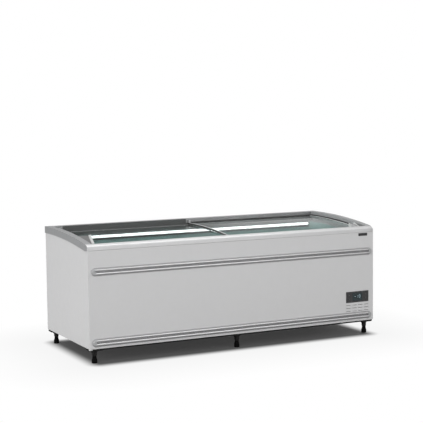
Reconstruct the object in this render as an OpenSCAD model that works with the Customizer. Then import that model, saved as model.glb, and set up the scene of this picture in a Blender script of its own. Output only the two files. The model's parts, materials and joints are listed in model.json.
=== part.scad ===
// Supermarket chest freezer with two curved glass lids that slide sideways over each other.
// Origin: on the floor, under the middle of the cabinet. +X to the user's right, +Y to the back, +Z up.

/* [Cabinet] */
// Length over the side frames
overall_length = 2500; // [2300:10:2600]
// How far each side frame stands past its side panel
frame_overhang = 4; // [4:1:10]
// Depth over the front and back panels
panel_depth = 942; // [930:1:950]
// Height of the rear edge of the top frame above the floor
overall_height = 944; // [930:1:960]
// Height of the panels' lower edge above the floor
leg_height = 114; // [100:1:120]
// Height of the front panel's upper edge above the floor
front_panel_top = 841; // [836:1:846]
// Thickness of the outer sheet metal
sheet = 1.5; // [0.8:0.1:2]
// Radius of the curve that the lids and the side frames follow
lid_radius = 5500; // [5500:50:5600]
// Distance behind the middle at which that curve becomes level
lid_crest = 350; // [340:5:360]

/* [Tub] */
// Half the inner length of the tub
tub_half_length = 1150; // [1140:1:1155]
// Half the inner depth of the tub
tub_half_depth = 385; // [380:1:388]
// Height of the tub floor above the room's floor
tub_floor = 225; // [215:5:240]
// X at which the step over the machinery begins
step_start = 800; // [760:10:820]
// Height of the top of that step
step_top = 480; // [460:5:500]
// Thickness of the liner sheet
liner = 1.5; // [1:0.1:2]
// Diameter of the evaporator tube
coil_tube = 8; // [6:0.5:8]

/* [Lids] */
// Drop of the upper lid's surface below the side frame
upper_drop = 34; // [32:1:35]
// Drop of the lower lid's surface below the side frame
lower_drop = 50; // [48:1:52]
// Thickness of the glass
glass_thickness = 4; // [3:0.5:5]
// Width of a lid's profile beside the side frame
lid_end_width = 22; // [18:1:26]
// Width of a lid's profile at the middle of the cabinet
centre_width = 12; // [10:1:12]
// Width of the front and rear runners of a lid
lid_runner_width = 14; // [10:1:14]

/* [Front] */
// Height of the middle of the upper bumper above the floor
upper_bumper_z = 685; // [670:1:700]
// Height of the middle of the lower bumper above the floor
lower_bumper_z = 160; // [150:1:165]
// Radius of each of a bumper's two ribs
rib_radius = 13; // [10:0.5:13]
// Middle of the control plate along X
control_x = 1091; // [1080:1:1100]
// Middle of the control plate above the floor
control_z = 315; // [310:1:320]
// Travel of a control key
key_travel = 1; // [0.5:0.1:1.5]

/* [Feet] */
// Radius of a foot's cup
foot_radius = 21; // [18:1:24]
// Distance of the end feet from the middle
foot_x = 1190; // [1150:5:1195]
// Distance of the front feet from the middle
front_foot_y = 419; // [410:1:425]
// Distance of the rear feet from the middle
rear_foot_y = 428; // [410:1:430]

/* [Hidden] */
$fn = 64;
half_length = overall_length / 2;
panel_half_length = half_length - frame_overhang;
half_depth = panel_depth / 2;
frame_lip = 4;
frame_half_depth = half_depth + frame_lip;
frame_width = 50;
frame_height = 52;
frame_inner = half_length - frame_width;
frame_wall = 4;
front_frame_back = 428;
rear_frame_front = 420;
web_x = frame_inner - frame_wall;
sill_drop = 82;
fit = 0.1;
foam_side = panel_half_length - sheet;
foam_depth = half_depth - sheet;
tub_wall_y = tub_half_depth + liner + coil_tube + 0.5;
tub_wall_x = tub_half_length + liner + coil_tube + 0.5;
pan_bottom = 140;
pan_top = pan_bottom + 2;
rail_bottom = 100;
bay_start = 868;
bay_top = 420;
front_track_bottom = front_panel_top - 29;
foam_front_top = front_track_bottom - 6;
rear_track_bottom = overall_height - sill_drop;
upper_front = 422;
upper_rear = 416;
lower_front = 408;
lower_rear = 404;
upper_thickness = 10;
lower_thickness = 12;
lid_overlap = 12;
lid_outer = web_x - 2;
outer_glass = lid_outer - lid_end_width;
inner_glass = lid_overlap - centre_width;
curve_steps = 28;
light_z = 844;
plate_width = 217;
plate_height = 90;
bumper_reach = 1193;
key_width = 22;
key_height = 14;
key_gap = 0.3;
key_depth = 12;
key_places = [[-80.5, 16], [-80.5, -16], [80.5, 16], [80.5, -16]];
vent_columns = [1006.5, 1066.5, 1122.5, 1179];
vent_rows = [249, 224.5, 200];
vent_width = 40;
vent_height = 5;
fan_x = 1060;
fan_z = 206;
fan_radius = 48;
shaft_radius = 3;
coil_rows = [520, 580, 640, 700, 760];
drain_x = -1000;
gland_x = 895;
gland_z = 200;
gland_bore = 5;
spacer_reach = 18;
foot_places = [
    [-foot_x, -front_foot_y], [0, -front_foot_y], [foot_x, -front_foot_y],
    [-foot_x, rear_foot_y], [0, rear_foot_y], [foot_x, rear_foot_y]
];
paint = [0.76, 0.76, 0.77];
frame_grey = [0.62, 0.62, 0.63];
black_paint = [0.08, 0.08, 0.09];
foam_yellow = [0.9, 0.85, 0.62];
liner_white = [0.9, 0.92, 0.92];
copper = [0.72, 0.45, 0.28];
glass_tint = [0.6, 0.75, 0.72, 0.35];

// Height of the side frame's top above the floor, at a distance y behind the middle
function top_z(y) = y >= lid_crest ? overall_height
    : overall_height - lid_radius + sqrt(lid_radius * lid_radius - (y - lid_crest) * (y - lid_crest));

// Points along that curve from y0 to y1, dropped by a constant amount
function curve(y0, y1, drop) =
    [for (i = [0:curve_steps]) let (y = y0 + (y1 - y0) * i / curve_steps) [y, top_z(y) - drop]];

// Extrudes an outline drawn in Y and Z along X
module along_x(x0, x1) {
    translate([x0, 0, 0]) rotate([90, 0, 90]) linear_extrude(x1 - x0) children();
}

// Extrudes an outline drawn in X and Z along Y
module along_y(y0, y1) {
    translate([0, y1, 0]) rotate([90, 0, 0]) linear_extrude(y1 - y0) children();
}

module block(x0, x1, y0, y1, z0, z1) {
    translate([x0, y0, z0]) cube([x1 - x0, y1 - y0, z1 - z0]);
}

module bar_y(x, z, r, y0, y1) {
    translate([x, y1, z]) rotate([90, 0, 0]) cylinder(r = r, h = y1 - y0);
}

module bar_x(y, z, r, x0, x1) {
    translate([x0, y, z]) rotate([0, 90, 0]) cylinder(r = r, h = x1 - x0);
}

// A band between two drops below the curve
module curved_band(y0, y1, drop0, drop1) {
    polygon(concat(curve(y0, y1, drop0), curve(y1, y0, drop1)));
}

// Everything under the curve, down to a level
module under_curve(y0, y1, drop, z0) {
    polygon(concat([[y1, z0], [y0, z0]], curve(y0, y1, drop)));
}

// Outer sheets

module vent_openings() {
    for (x = vent_columns, z = vent_rows)
        block(x - vent_width / 2, x + vent_width / 2, -half_depth - 1, -foam_depth + 1,
              z - vent_height / 2, z + vent_height / 2);
}

module vent_hoods() {
    hood_radius = 3;
    for (x = vent_columns, z = vent_rows)
        difference() {
            bar_x(-half_depth, z + vent_height / 2 + 1, hood_radius, x - vent_width / 2, x + vent_width / 2);
            block(x - vent_width, x + vent_width, -half_depth + sheet, 0, z - 20, z + 20);
        }
}

module front_panel() {
    color(paint) difference() {
        union() {
            block(-panel_half_length, panel_half_length, -half_depth, -foam_depth,
                  leg_height, front_panel_top);
            vent_hoods();
        }
        vent_openings();
        block(control_x - plate_width / 2 + 4, control_x + plate_width / 2 - 4, -half_depth - 1, 0,
              control_z - plate_height / 2 + 4, control_z + plate_height / 2 - 4);
    }
}

module side_sheet(x0) {
    along_x(x0, x0 + sheet) under_curve(-front_frame_back, foam_depth, frame_height + fit, leg_height);
    block(x0, x0 + sheet, -foam_depth, -front_frame_back, leg_height, front_panel_top);
}

module left_panel() {
    color(paint) side_sheet(-panel_half_length);
}

module right_panel() {
    slot_width = 120;
    color(paint) difference() {
        side_sheet(foam_side);
        for (y = [-150, 20, 190], z = [180:22:334])
            block(foam_side - 1, panel_half_length + 1, y - slot_width / 2, y + slot_width / 2, z, z + 7);
    }
}

module back_panel() {
    color(paint) difference() {
        block(-panel_half_length, panel_half_length, foam_depth, half_depth,
              leg_height, overall_height - frame_height);
        block(942, 1210, foam_depth - 1, half_depth + 1, 160, 410);
        bar_y(gland_x, gland_z, 9 + fit, foam_depth - 1, half_depth + 1);
    }
}

module back_grille() {
    color(black_paint) difference() {
        block(930, 1222, half_depth, half_depth + 4, 148, 422);
        for (x = [950, 1084], z = [170:18:400])
            block(x, x + 118, half_depth - 1, half_depth + 5, z, z + 8);
    }
}

module rear_spacers() {
    color(black_paint)
        for (x = [-700, 700], z = [250, 780]) {
            bar_y(x, z, 20, half_depth, half_depth + spacer_reach - 4);
            bar_y(x, z, 16, half_depth, half_depth + spacer_reach);
        }
}

// Base

module bottom_pan() {
    color(paint) difference() {
        block(-foam_side, foam_side, -foam_depth, foam_depth, pan_bottom, pan_top);
        translate([drain_x, 0, pan_bottom - 1]) cylinder(r = 13 + fit, h = 4);
        for (x = [920:30:1190])
            block(x, x + 12, -300, 100, pan_bottom - 1, pan_top + 1);
    }
}

module channel_x(y0, y1) {
    wall = 3;
    difference() {
        block(-foam_side, foam_side, y0, y1, rail_bottom, pan_bottom);
        block(-foam_side - 1, foam_side + 1, y0 + wall, y1 - wall, rail_bottom + wall, pan_bottom - wall);
    }
}

module base_rails() {
    color(black_paint) {
        channel_x(-459, -399);
        channel_x(399, 459);
    }
}

module base_cross_members() {
    wall = 3;
    color(black_paint)
        for (x = [-foot_x, -595, 0, 595, foot_x])
            difference() {
                block(x - 20, x + 20, -399, 399, rail_bottom, pan_bottom);
                block(x - 20 + wall, x + 20 - wall, -400, 400, rail_bottom + wall, pan_bottom - wall);
            }
}

module foot_bracket() {
    gusset_reach = 34;
    difference() {
        union() {
            translate([-30, -28, rail_bottom - 4]) cube([60, 56, 4]);
            translate([0, 0, 52]) cylinder(r1 = 15, r2 = 18.5, h = 12);
            translate([0, 0, 64]) cylinder(r = 18.5, h = rail_bottom - 64);
            along_y(-2, 2)
                polygon([[-gusset_reach, rail_bottom - 4], [0, 56], [gusset_reach, rail_bottom - 4]]);
        }
        translate([0, 0, 40]) cylinder(r = 9.3, h = 70);
    }
}

module foot_brackets() {
    color(black_paint)
        for (p = foot_places)
            translate([p[0], p[1], 0]) foot_bracket();
}

module foot(i) {
    color(black_paint)
        translate([foot_places[i - 1][0], foot_places[i - 1][1], 0]) {
            rotate_extrude()
                polygon([
                    [0, 0], [foot_radius - 2, 0], [foot_radius, 2], [foot_radius, 26],
                    [foot_radius - 3, 34], [13, 41], [12, 49], [9, 49], [9, 94], [0, 94]
                ]);
        }
}

// Insulation

module bay_cut() {
    block(bay_start, foam_side + 1, -half_depth, half_depth, 0, bay_top);
}

module foam_front() {
    color(foam_yellow) difference() {
        along_x(-foam_side, foam_side)
            polygon([
                [-foam_depth, pan_top], [-tub_wall_y, pan_top], [-tub_wall_y, foam_front_top],
                [-front_frame_back, foam_front_top], [-front_frame_back, front_panel_top],
                [-foam_depth, front_panel_top]
            ]);
        bay_cut();
    }
}

module foam_back() {
    rear_top = overall_height - frame_height;
    color(foam_yellow) difference() {
        along_x(-foam_side, foam_side)
            polygon([
                [foam_depth, pan_top], [tub_wall_y, pan_top], [tub_wall_y, rear_track_bottom],
                [rear_frame_front, rear_track_bottom], [rear_frame_front, rear_top], [foam_depth, rear_top]
            ]);
        bay_cut();
    }
}

module foam_side_slab(bottom) {
    along_x(tub_wall_x, frame_inner)
        under_curve(-tub_wall_y, tub_wall_y, sill_drop + fit, bottom);
    along_x(frame_inner, foam_side)
        under_curve(-tub_wall_y, tub_wall_y, frame_height + fit, bottom);
}

module foam_left() {
    color(foam_yellow) mirror([1, 0, 0]) foam_side_slab(pan_top);
}

module foam_right() {
    color(foam_yellow) foam_side_slab(bay_top);
}

module foam_floor() {
    floor_bottom = tub_floor - liner;
    color(foam_yellow) difference() {
        union() {
            block(-tub_wall_x, bay_start, -tub_wall_y, tub_wall_y, pan_top, floor_bottom);
            block(step_start + liner, bay_start, -tub_wall_y, tub_wall_y, pan_top, step_top - liner);
            block(step_start + liner, tub_wall_x, -tub_wall_y, tub_wall_y, bay_top, step_top - liner);
        }
        translate([drain_x, 0, pan_top - 1]) cylinder(r = 13, h = floor_bottom);
    }
}

// Liner and evaporator

module liner_front() {
    color(liner_white)
        block(-tub_half_length, tub_half_length, -tub_half_depth - liner, -tub_half_depth,
              step_top, front_track_bottom);
    color(liner_white)
        block(-tub_half_length, step_start, -tub_half_depth - liner, -tub_half_depth,
              tub_floor, step_top);
}

module liner_back() {
    color(liner_white)
        block(-tub_half_length, tub_half_length, tub_half_depth, tub_half_depth + liner,
              step_top, rear_track_bottom);
    color(liner_white)
        block(-tub_half_length, step_start, tub_half_depth, tub_half_depth + liner,
              tub_floor, step_top);
}

module end_liner(bottom) {
    along_x(tub_half_length, tub_half_length + liner)
        under_curve(-tub_half_depth - liner, tub_half_depth + liner, sill_drop + fit, bottom);
}

module liner_left() {
    color(liner_white) mirror([1, 0, 0]) end_liner(tub_floor);
}

module liner_right() {
    color(liner_white) end_liner(step_top);
}

module liner_floor() {
    seam = 0.2;
    color(liner_white) {
        difference() {
            block(-tub_half_length, step_start - seam, -tub_half_depth, tub_half_depth,
                  tub_floor - liner, tub_floor);
            translate([drain_x, 0, tub_floor - liner - 1]) cylinder(r = 10, h = liner + 2);
        }
        block(step_start, step_start + liner, -tub_half_depth, tub_half_depth,
              tub_floor - liner, step_top - liner - seam);
        block(step_start, tub_half_length, -tub_half_depth, tub_half_depth, step_top - liner, step_top);
    }
}

module coil_ring(z) {
    r = coil_tube / 2;
    x = tub_half_length + liner + 0.25 + r;
    y = tub_half_depth + liner + 0.25 + r;
    for (s = [-1, 1]) {
        bar_x(s * y, z, r, -x, x);
        bar_y(s * x, z, r, -y, y);
        for (t = [-1, 1])
            translate([s * x, t * y, z]) sphere(r = r);
    }
}

module evaporator_tubes() {
    color(copper)
        for (z = coil_rows)
            coil_ring(z);
}

module drain_tube() {
    color(black_paint) difference() {
        translate([drain_x, 0, 112]) cylinder(r = 13, h = tub_floor - liner - 112);
        translate([drain_x, 0, 111]) cylinder(r = 10, h = tub_floor);
    }
}

// Top frame, tracks and light

module side_frame() {
    difference() {
        along_x(frame_inner, half_length)
            curved_band(-front_frame_back, frame_half_depth, 0, frame_height);
        along_x(frame_inner + frame_wall, half_length - frame_wall)
            curved_band(-front_frame_back + frame_wall, frame_half_depth - frame_wall,
                        frame_wall, frame_height - frame_wall);
    }
    along_x(web_x, frame_inner)
        curved_band(-front_frame_back, rear_frame_front, frame_wall, sill_drop);
    along_x(tub_half_length - 2, web_x)
        curved_band(-tub_wall_y + 1, tub_wall_y - 1, sill_drop - frame_wall, sill_drop);
}

module side_frame_left() {
    color(frame_grey) mirror([1, 0, 0]) side_frame();
}

module side_frame_right() {
    color(frame_grey) side_frame();
}

module front_frame() {
    face_top = front_panel_top + 30;
    inner_top = front_panel_top + 48;
    groove_top = front_panel_top + 2.5;
    chamber_height = 27;
    color(frame_grey) difference() {
        along_x(-half_length, half_length)
            polygon([
                [-frame_half_depth + 3.5, front_panel_top], [-frame_half_depth + 3.5, groove_top],
                [-frame_half_depth, groove_top], [-frame_half_depth, face_top],
                [-frame_half_depth + 4, face_top + 6], [-frame_half_depth + 12, face_top + 11],
                [-frame_half_depth + 26, inner_top - 3], [-front_frame_back - 4, inner_top],
                [-front_frame_back, inner_top - 2], [-front_frame_back, front_panel_top]
            ]);
        block(-half_length + frame_wall, half_length - frame_wall,
              -frame_half_depth + frame_wall, -front_frame_back - frame_wall,
              front_panel_top + frame_wall, front_panel_top + frame_wall + chamber_height);
    }
}

module rear_frame() {
    bottom = overall_height - frame_height;
    color(frame_grey) difference() {
        block(-frame_inner, frame_inner, rear_frame_front, frame_half_depth, bottom, overall_height);
        block(-frame_inner - 1, frame_inner + 1, rear_frame_front + frame_wall, frame_half_depth - frame_wall,
              bottom + frame_wall, overall_height - frame_wall);
    }
}

module front_track() {
    upper_ledge = 845;
    lower_ledge = 828.5;
    wall_top = 884;
    color(frame_grey) {
        along_x(-web_x, web_x)
            difference() {
                polygon([
                    [-front_frame_back, front_track_bottom], [-tub_wall_y, front_track_bottom],
                    [-tub_wall_y, lower_ledge], [-lower_front - 3, lower_ledge],
                    [-lower_front - 3, upper_ledge], [-upper_front - 3, upper_ledge],
                    [-upper_front - 3, wall_top], [-front_frame_back, wall_top]
                ]);
                translate([-front_frame_back + 2, front_track_bottom + 2]) square([28, 15]);
            }
        block(-tub_half_length + 2, tub_half_length - 2, -tub_wall_y, -tub_half_depth + 1,
              front_track_bottom, front_track_bottom + 3);
    }
}

module rear_track() {
    upper_ledge = 899.5;
    lower_ledge = 881.5;
    wall_top = overall_height - upper_drop - 1;
    color(frame_grey) {
        along_x(-web_x, web_x)
            difference() {
                polygon([
                    [rear_frame_front, rear_track_bottom], [rear_frame_front, wall_top],
                    [upper_rear + 1, wall_top], [upper_rear + 1, upper_ledge],
                    [lower_rear + 1, upper_ledge], [lower_rear + 1, lower_ledge],
                    [tub_wall_y, lower_ledge], [tub_wall_y, rear_track_bottom]
                ]);
                translate([tub_wall_y + 2, rear_track_bottom + 2]) square([21, 15]);
            }
        block(-tub_half_length + 2, tub_half_length - 2, tub_half_depth, tub_wall_y,
              rear_track_bottom, rear_track_bottom + 3);
    }
}

// The corner block's edge runs back at a slant, and its rim stands above the rest
module corner_block_left() {
    rim = 24;
    edge = [[-1190, -404], [-1178, -360], [-1157, -280], [-1134, -200], [-1110, -128]];
    color(frame_grey) {
        intersection() {
            along_x(-web_x, edge[4][0]) curved_band(edge[0][1], edge[4][1], 5, lower_drop - 4);
            linear_extrude(overall_height)
                polygon(concat([[-web_x, edge[4][1]], [-web_x, edge[0][1]]], edge));
        }
        intersection() {
            along_x(-web_x, edge[4][0] + rim) curved_band(edge[0][1], edge[4][1], 1, lower_drop - 4);
            linear_extrude(overall_height)
                polygon(concat(edge, [for (i = [4:-1:0]) [edge[i][0] + rim, edge[i][1]]]));
        }
    }
}

module led_housing() {
    color(frame_grey)
        block(-1140, 1140, tub_half_depth - 14, tub_half_depth, light_z - 26, light_z + 16);
}

module led_diffuser() {
    color([0.97, 0.98, 1])
        along_x(-1130, 1130)
            intersection() {
                translate([tub_half_depth - 5, light_z]) circle(r = 18);
                translate([tub_half_depth - 24, light_z - 10]) square([10, 20]);
            }
}

// Bumpers and badge

module bumper_outline(z) {
    base = 3;
    intersection() {
        union() {
            translate([-half_depth - base, z - 28.5]) square([base, 57]);
            for (s = [-1, 1])
                translate([-half_depth - base, z + s * 14]) circle(r = rib_radius);
        }
        translate([-half_depth - base - rib_radius - 1, z - 29]) square([base + rib_radius + 1, 58]);
    }
}

module upper_bumper() {
    color(frame_grey) along_x(-bumper_reach, bumper_reach) bumper_outline(upper_bumper_z);
}

module lower_bumper() {
    color(frame_grey) along_x(-bumper_reach, bumper_reach) bumper_outline(lower_bumper_z);
}

module end_cap(z) {
    intersection() {
        union() {
            bar_y(0, z, 28.5, -half_depth - 13, -half_depth);
            bar_y(0, z, 24, -half_depth - 18, -half_depth - 13);
        }
        block(0, 40, -half_depth - 20, -half_depth, z - 30, z + 30);
    }
}

module bumper_end_caps() {
    color([0.7, 0.7, 0.71])
        for (z = [upper_bumper_z, lower_bumper_z]) {
            translate([bumper_reach, 0, 0]) end_cap(z);
            translate([-bumper_reach, 0, 0]) mirror([1, 0, 0]) end_cap(z);
        }
}

module badge() {
    color(black_paint) block(1103, 1187, -half_depth - 2.5, -half_depth, 813, 836);
}

// Controls

module key_room(p, extra) {
    w = key_width + 2 * extra;
    h = key_height + 2 * extra;
    translate([control_x + p[0] - w / 2, 0, control_z + p[1] - h / 2]) children();
}

module control_plate() {
    box_height = plate_height - 10;
    color(black_paint) difference() {
        union() {
            block(control_x - plate_width / 2, control_x + plate_width / 2, -half_depth - 3, -half_depth,
                  control_z - plate_height / 2, control_z + plate_height / 2);
            block(control_x - plate_width / 2 + 5, control_x + plate_width / 2 - 5, -half_depth, -450,
                  control_z - box_height / 2, control_z + box_height / 2);
        }
        block(control_x - 48, control_x + 48, -half_depth - 4, -half_depth, control_z - 33, control_z + 33);
        for (p = key_places)
            key_room(p, key_gap)
                translate([0, -half_depth - 4, 0])
                    cube([key_width + 2 * key_gap, key_depth + key_travel + 3, key_height + 2 * key_gap]);
    }
}

module display_window() {
    color([0.16, 0.3, 0.3])
        block(control_x - 48, control_x + 48, -half_depth - 2.5, -half_depth, control_z - 33, control_z + 33);
}

module key(i) {
    color([0.25, 0.25, 0.26])
        key_room(key_places[i - 1], 0)
            translate([0, -half_depth - 4.5, 0]) cube([key_width, key_depth, key_height]);
}

module power_inlet() {
    color(black_paint) difference() {
        union() {
            bar_y(gland_x, gland_z, 14, half_depth, half_depth + 4);
            bar_y(gland_x, gland_z, 9, half_depth - 12, half_depth + 16);
        }
        bar_y(gland_x, gland_z, gland_bore, half_depth - 13, half_depth + 17);
    }
}

// Machinery

module compressor() {
    color(black_paint)
        translate([1120, 210, pan_top]) {
            for (s = [-1, 1])
                translate([s * 78, 0, 0]) cylinder(r = 14, h = 12);
            translate([-100, -28, 12]) cube([200, 56, 4]);
            translate([0, 0, 16]) cylinder(r = 74, h = 90);
            translate([0, 0, 106]) cylinder(r1 = 74, r2 = 58, h = 22);
            translate([0, 0, 128]) cylinder(r1 = 58, r2 = 20, h = 14);
            translate([-105, -24, 40]) cube([40, 48, 62]);
        }
}

module condenser() {
    color([0.3, 0.3, 0.31]) {
        for (x = [910:6:1210])
            block(x, x + 0.8, -432, -388, 152, 262);
        for (y = [-421, -399], z = [172:22:244])
            bar_x(y, z, 5, 900, 1222);
        block(898, 901, -434, -386, pan_top, 264);
        block(1220, 1223, -434, -386, pan_top, 264);
    }
}

module fan_shroud() {
    color([0.35, 0.35, 0.36]) difference() {
        block(960, 1160, -374, -371, pan_top, 270);
        bar_y(fan_x, fan_z, fan_radius + 3, -376, -369);
    }
}

module fan_blade() {
    color([0.2, 0.2, 0.21]) {
        bar_y(fan_x, fan_z, 14, -364, -346);
        bar_y(fan_x, fan_z, shaft_radius, -346, -322);
        intersection() {
            for (a = [0:72:288])
                translate([fan_x, -355, fan_z]) rotate([0, a, 0]) rotate([0, 0, 24])
                    translate([-13, -1, 8]) cube([26, 2, fan_radius]);
            bar_y(fan_x, fan_z, fan_radius, -368, -342);
        }
    }
}

module fan_motor() {
    color(black_paint) difference() {
        union() {
            bar_y(fan_x, fan_z, 22, -338, -292);
            block(fan_x - 12, fan_x + 12, -332, -300, pan_top, fan_z - 12);
            block(fan_x - 30, fan_x + 30, -336, -296, pan_top, pan_top + 3);
        }
        bar_y(fan_x, fan_z, shaft_radius + 0.05, -340, -318);
    }
}

module refrigerant_pipes() {
    color(copper) {
        bar_x(-399, 266.5, 2.5, 1214, 1230);
        translate([1230, -399, 266.5]) sphere(r = 2.5);
        bar_y(1230, 266.5, 2.5, -399, 40);
        translate([1230, 40, 266.5]) sphere(r = 2.5);
        translate([1230, 40, 266.5]) cylinder(r = 2.5, h = 20);
        translate([900, 300, 180]) cylinder(r = 12, h = 110);
        translate([900, 300, 290]) cylinder(r1 = 12, r2 = 3, h = 14);
        translate([900, 300, 304]) cylinder(r = 3, h = 60);
    }
}

// Lids

// A lid's frame, whose window runs from glass0 to glass1
module lid_frame(x0, x1, glass0, glass1, y0, y1, drop, thickness) {
    difference() {
        along_x(x0, x1) curved_band(y0, y1, drop, drop + thickness);
        along_x(glass0, glass1)
            curved_band(y0 + lid_runner_width, y1 - lid_runner_width, drop - 2, drop + thickness + 2);
    }
}

module lid_glass(glass0, glass1, y0, y1, drop) {
    along_x(glass0, glass1)
        curved_band(y0 + lid_runner_width, y1 - lid_runner_width, drop, drop + glass_thickness);
}

module left_glass() {
    color(glass_tint)
        lid_glass(-outer_glass, inner_glass, -lower_front, lower_rear, lower_drop + 0.5);
}

module left_lid_frame() {
    color(frame_grey)
        lid_frame(-lid_outer, lid_overlap, -outer_glass, inner_glass,
                  -lower_front, lower_rear, lower_drop, lower_thickness);
}

module left_pull() {
    color(frame_grey)
        along_x(-lid_outer + 3, -outer_glass - 3)
            curved_band(-90, 60, lower_drop - 1.5, lower_drop);
}

module right_glass() {
    color(glass_tint)
        lid_glass(-inner_glass, outer_glass, -upper_front, upper_rear, upper_drop + 0.5);
}

module right_lid_frame() {
    seal_depth = 3.5;
    seal_width = 8;
    color(frame_grey) {
        lid_frame(-lid_overlap, lid_outer, -inner_glass, outer_glass,
                  -upper_front, upper_rear, upper_drop, upper_thickness);
        along_x(-lid_overlap, seal_width - lid_overlap)
            curved_band(-lower_front + 4, lower_rear - 4, upper_drop + upper_thickness,
                        upper_drop + upper_thickness + seal_depth);
    }
}

// A grip in the upper lid's front corner: a plate, a slanted bar and an upright tab
module right_handle() {
    front = -414;
    rear = -286;
    color(frame_grey) {
        intersection() {
            along_x(1096, 1172) curved_band(front, rear, 14, upper_drop - fit);
            linear_extrude(overall_height)
                polygon([[1096, front], [1134, front], [1172, rear], [1142, rear]]);
        }
        intersection() {
            along_x(1134, lid_outer) curved_band(front, rear, 2, upper_drop - fit);
            linear_extrude(overall_height)
                polygon([[1134, front], [1150, front], [1188, rear], [1172, rear]]);
        }
        along_x(1086, 1094) curved_band(-392, -350, -12, upper_drop - fit);
    }
}

front_panel();
left_panel();
right_panel();
back_panel();
bottom_pan();
base_rails();
base_cross_members();
foot_brackets();
foam_front();
foam_back();
foam_left();
foam_right();
foam_floor();
liner_front();
liner_back();
liner_left();
liner_right();
liner_floor();
evaporator_tubes();
side_frame_left();
side_frame_right();
front_frame();
rear_frame();
front_track();
rear_track();
corner_block_left();
upper_bumper();
lower_bumper();
bumper_end_caps();
badge();
control_plate();
display_window();
back_grille();
rear_spacers();
power_inlet();
compressor();
condenser();
fan_motor();
fan_blade();
fan_shroud();
refrigerant_pipes();
led_housing();
led_diffuser();
drain_tube();
left_glass();
left_lid_frame();
left_pull();
right_glass();
right_lid_frame();
right_handle();
for (i = [1:4])
    key(i);
for (i = [1:6])
    foot(i);
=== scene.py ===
import json
import math

import bmesh
import bpy
from mathutils import Matrix, Vector

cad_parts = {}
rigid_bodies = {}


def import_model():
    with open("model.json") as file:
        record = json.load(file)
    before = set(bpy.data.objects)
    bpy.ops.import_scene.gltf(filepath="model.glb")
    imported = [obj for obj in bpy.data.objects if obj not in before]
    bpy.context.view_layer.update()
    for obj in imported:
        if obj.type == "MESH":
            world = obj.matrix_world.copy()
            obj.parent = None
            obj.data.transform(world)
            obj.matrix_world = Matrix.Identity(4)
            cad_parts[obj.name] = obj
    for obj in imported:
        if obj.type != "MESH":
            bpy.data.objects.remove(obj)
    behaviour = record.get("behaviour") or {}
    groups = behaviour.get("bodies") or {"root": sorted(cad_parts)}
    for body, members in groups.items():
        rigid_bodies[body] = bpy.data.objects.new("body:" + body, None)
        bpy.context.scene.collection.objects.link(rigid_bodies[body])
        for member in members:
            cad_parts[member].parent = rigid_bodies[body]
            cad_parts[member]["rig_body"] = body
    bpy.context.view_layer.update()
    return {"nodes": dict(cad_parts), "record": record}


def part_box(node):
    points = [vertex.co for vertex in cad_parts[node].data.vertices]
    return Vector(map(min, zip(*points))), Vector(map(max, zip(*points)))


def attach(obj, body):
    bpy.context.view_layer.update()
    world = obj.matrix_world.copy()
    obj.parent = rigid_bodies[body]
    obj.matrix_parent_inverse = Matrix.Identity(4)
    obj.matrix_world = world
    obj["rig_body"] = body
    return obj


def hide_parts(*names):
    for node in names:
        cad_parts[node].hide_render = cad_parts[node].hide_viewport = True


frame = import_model()
nodes = frame["nodes"]
mm = 0.001
print("frame loaded:", len(nodes), "nodes")


# shared shader groups

def newGroup(name, inputs, outputs):
    group = bpy.data.node_groups.new(name, "ShaderNodeTree")
    for socketName, kind, value in inputs:
        socket = group.interface.new_socket(socketName, in_out="INPUT", socket_type=kind)
        socket.default_value = value
    for socketName, kind in outputs:
        group.interface.new_socket(socketName, in_out="OUTPUT", socket_type=kind)
    start = group.nodes.new("NodeGroupInput")
    end = group.nodes.new("NodeGroupOutput")
    return group, start, end


def mathNode(tree, operation, a, b=None, clamp=False):
    node = tree.nodes.new("ShaderNodeMath")
    node.operation = operation
    node.use_clamp = clamp
    for socket, value in zip(node.inputs, (a, b)):
        if isinstance(value, bpy.types.NodeSocket):
            tree.links.new(value, socket)
        elif value is not None:
            socket.default_value = value
    return node.outputs[0]


def noiseNode(tree, vector, scale, detail=4.0, roughness=0.55):
    node = tree.nodes.new("ShaderNodeTexNoise")
    node.inputs["Detail"].default_value = detail
    node.inputs["Roughness"].default_value = roughness
    tree.links.new(vector, node.inputs["Vector"])
    if isinstance(scale, bpy.types.NodeSocket):
        tree.links.new(scale, node.inputs["Scale"])
    else:
        node.inputs["Scale"].default_value = scale
    return node.outputs["Fac"]


def rangeNode(tree, value, source=(0.0, 1.0), target=(0.0, 1.0), smooth=False):
    node = tree.nodes.new("ShaderNodeMapRange")
    node.interpolation_type = "SMOOTHSTEP" if smooth else "LINEAR"
    names = ("From Min", "From Max", "To Min", "To Max")
    for key, limit in zip(names, (*source, *target)):
        node.inputs[key].default_value = limit
    tree.links.new(value, node.inputs["Value"])
    return node.outputs["Result"]


def dotNode(tree, vector, direction):
    node = tree.nodes.new("ShaderNodeVectorMath")
    node.operation = "DOT_PRODUCT"
    tree.links.new(vector, node.inputs[0])
    if isinstance(direction, bpy.types.NodeSocket):
        tree.links.new(direction, node.inputs[1])
    else:
        node.inputs[1].default_value = direction
    return node.outputs["Value"]


mottled = {"broadDetail": 5.0, "fineTimes": 14.0, "fineDetail": 3.0, "gain": 2.6}


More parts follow.
